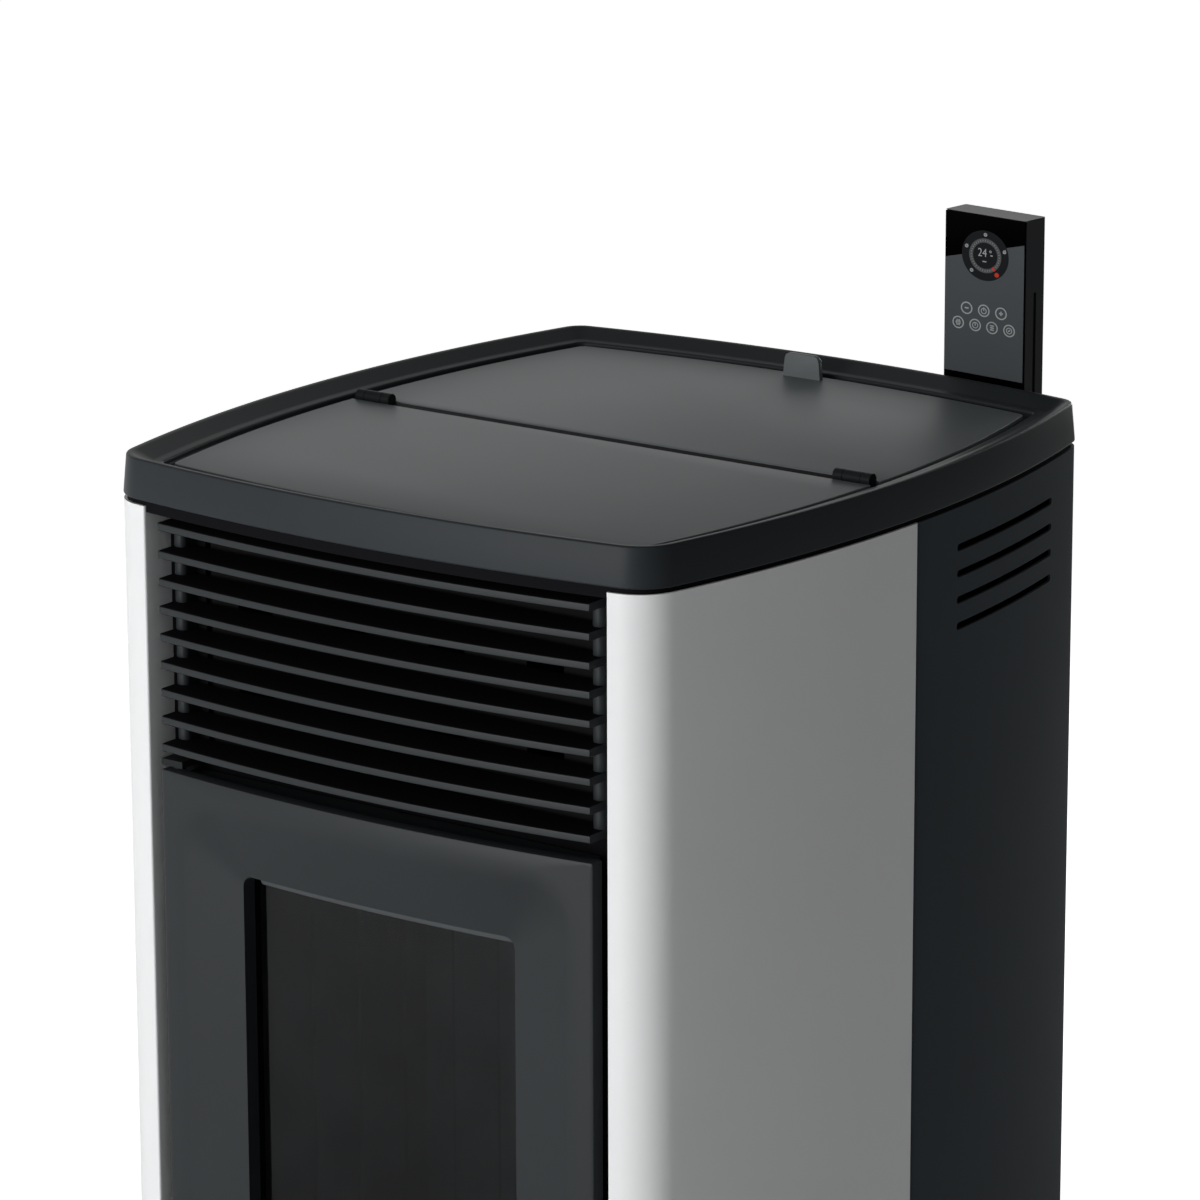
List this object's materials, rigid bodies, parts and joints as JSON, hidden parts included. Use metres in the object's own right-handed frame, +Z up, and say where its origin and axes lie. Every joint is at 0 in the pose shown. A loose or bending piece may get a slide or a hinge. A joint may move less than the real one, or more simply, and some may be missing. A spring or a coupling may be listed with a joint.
{
  "type": "pellet stove",
  "caption": "Free-standing pellet stove with bowed casing, slatted air grille, glazed fire door, hinged hopper lid and a remote control in a holder.",
  "frame": {"origin": "on the floor under the middle of the whole stove's bounding box", "axes": "+Z up; the stove's front faces -Y; +X is the right-hand side as seen from the front"},
  "size_m": [0.504, 0.5798, 1.1862],
  "materials": {
    "casing_white": "satin",
    "casing_dark": "matte",
    "rim_black": "matte",
    "plate_grey": "matte",
    "iron_black": "matte",
    "fitting_black": "satin",
    "lever_steel": "brushed",
    "frame_black": "matte",
    "sheet_steel": "galvanised",
    "heated_steel": "matte",
    "cast_iron": "rough",
    "lining_cream": "rough",
    "bright_steel": "satin",
    "motor_grey": "satin",
    "pipe_black": "matte",
    "rope_grey": "woven",
    "foam_black": "matte",
    "fire_glass": "gloss",
    "plastic_black": "matte",
    "gloss_black": "gloss",
    "foot_rubber": "matte"
  },
  "bodies": {
    "stove": {"left_side_panel": "casing_white", "right_side_panel": "casing_white", "left_rear_panel": "casing_dark", "right_rear_panel": "casing_dark", "back_panel": "casing_dark", "top_rim": "rim_black", "front_top_plate": "plate_grey", "air_grille": "iron_black", "lower_fascia": "iron_black", "lid_hinge_knuckles": "fitting_black", "door_hinge_brackets": "fitting_black", "front_frame": "frame_black", "base_plate": "frame_black", "remote_holder": "frame_black", "bulkhead": "sheet_steel", "corner_posts": "sheet_steel", "hopper": "sheet_steel", "hopper_grid": "sheet_steel", "auger_tube": "sheet_steel", "pellet_chute": "sheet_steel", "air_duct": "sheet_steel", "drawer_runners": "sheet_steel", "smoke_fan_housing": "sheet_steel", "room_fan_housing": "sheet_steel", "firebox": "heated_steel", "exchanger_tubes": "heated_steel", "igniter": "heated_steel", "hearth_plate": "cast_iron", "back_lining": "lining_cream", "side_linings": "lining_cream", "smoke_baffle": "lining_cream", "auger_gearmotor": "motor_grey", "room_fan_motor": "motor_grey", "smoke_fan_motor": "motor_grey", "flue_collar": "pipe_black", "air_intake_pipe": "pipe_black", "hopper_seal": "foam_black", "mains_inlet": "plastic_black", "control_box": "plastic_black"},
    "fire_door": {"fire_door": "iron_black", "door_glass": "fire_glass", "glass_retainer": "fitting_black", "door_seal": "rope_grey"},
    "door_lever": {"door_lever": "lever_steel", "latch_cam": "lever_steel"},
    "hopper_lid": {"hopper_lid": "plate_grey", "lid_hinge_sleeves": "fitting_black"},
    "remote": {"remote_control": "plastic_black", "remote_glass": "gloss_black"},
    "ash_drawer": {"ash_tray": "sheet_steel", "ash_drawer_front": "iron_black"},
    "burn_pot": {"burn_pot": "cast_iron"},
    "auger": {"auger_screw": "bright_steel"},
    "smoke_fan": {"smoke_fan_wheel": "bright_steel"},
    "room_fan": {"room_fan_wheel": "bright_steel"},
    "rocker": {"rocker_switch": "plastic_black"},
    "foot_front_left": {"foot_front_left": "foot_rubber"},
    "foot_front_right": {"foot_front_right": "foot_rubber"},
    "foot_rear_left": {"foot_rear_left": "foot_rubber"},
    "foot_rear_right": {"foot_rear_right": "foot_rubber"}
  },
  "joints": [
    {"name": "door_swing", "type": "hinge", "parent": "stove", "child": "fire_door", "pos_m": [-0.171, -0.266, 0.6], "axis": [0, 0, -1], "range_deg": [0, 110]},
    {"name": "lever_turn", "type": "hinge", "parent": "fire_door", "child": "door_lever", "pos_m": [0.171, -0.266, 0.6], "axis": [0, 1, 0], "range_deg": [0, 90]},
    {"name": "lid_lift", "type": "hinge", "parent": "stove", "child": "hopper_lid", "pos_m": [0, -0.015, 1.0635], "axis": [1, 0, 0], "range_deg": [0, 85]},
    {"name": "remote_lift", "type": "slide", "parent": "stove", "child": "remote", "axis": [0, 0, 1], "range_m": [0, 0.07]},
    {"name": "drawer_pull", "type": "slide", "parent": "stove", "child": "ash_drawer", "axis": [0, -1, 0], "range_m": [0, 0.215]},
    {"name": "pot_lift", "type": "slide", "parent": "stove", "child": "burn_pot", "axis": [0, 0, 1], "range_m": [0, 0.055]},
    {"name": "auger_spin", "type": "hinge", "parent": "stove", "child": "auger", "pos_m": [0, 0.005, 0.66], "axis": [0, -0.766, 0.6428], "continuous": true},
    {"name": "smoke_fan_spin", "type": "hinge", "parent": "stove", "child": "smoke_fan", "pos_m": [0.105, 0.15, 0.25], "axis": [0, 1, 0], "continuous": true},
    {"name": "room_fan_spin", "type": "hinge", "parent": "stove", "child": "room_fan", "pos_m": [-0.035, 0.06, 0.215], "axis": [1, 0, 0], "continuous": true},
    {"name": "rocker_press", "type": "hinge", "parent": "stove", "child": "rocker", "pos_m": [-0.06, 0.236, 0.3425], "axis": [1, 0, 0], "range_deg": [0, 16]},
    {"name": "foot_front_left_level", "type": "slide", "parent": "stove", "child": "foot_front_left", "axis": [0, 0, -1], "range_m": [0, 0.01]},
    {"name": "foot_front_right_level", "type": "slide", "parent": "stove", "child": "foot_front_right", "axis": [0, 0, -1], "range_m": [0, 0.01]},
    {"name": "foot_rear_left_level", "type": "slide", "parent": "stove", "child": "foot_rear_left", "axis": [0, 0, -1], "range_m": [0, 0.01]},
    {"name": "foot_rear_right_level", "type": "slide", "parent": "stove", "child": "foot_rear_right", "axis": [0, 0, -1], "range_m": [0, 0.01]}
  ]
}
